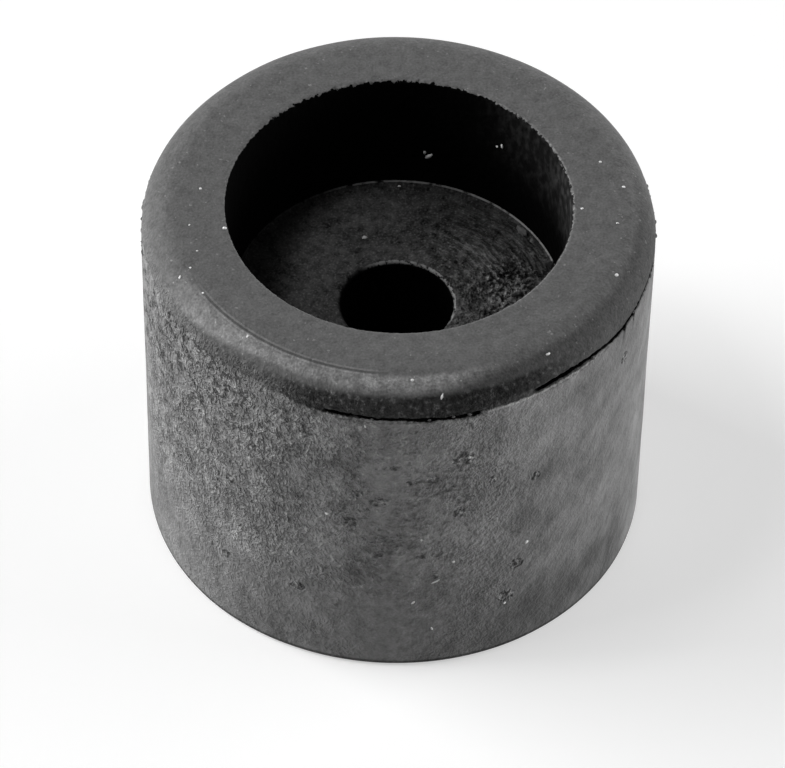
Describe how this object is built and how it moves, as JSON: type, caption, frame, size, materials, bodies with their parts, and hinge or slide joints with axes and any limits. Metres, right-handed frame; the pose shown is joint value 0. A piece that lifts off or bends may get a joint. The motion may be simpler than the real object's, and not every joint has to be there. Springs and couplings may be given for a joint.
{
  "type": "rubber foot",
  "caption": "Round moulded rubber foot with drafted sides, a rounded shoulder, a deep recess for a washer and bolt head, and a through bolt hole.",
  "frame": {"origin": "centre of the flat base, on the axis of the bolt hole", "axes": "+Z along the bolt hole from the base to the recessed end, +X to the right and -Y towards the viewer of the picture"},
  "size_m": [0.04, 0.04, 0.032],
  "materials": {
    "black_rubber": "matt moulded rubber, with a smooth satin top land and a pitted, chalky side wall"
  },
  "bodies": {
    "root": {"foot": "black_rubber"}
  },
  "joints": []
}
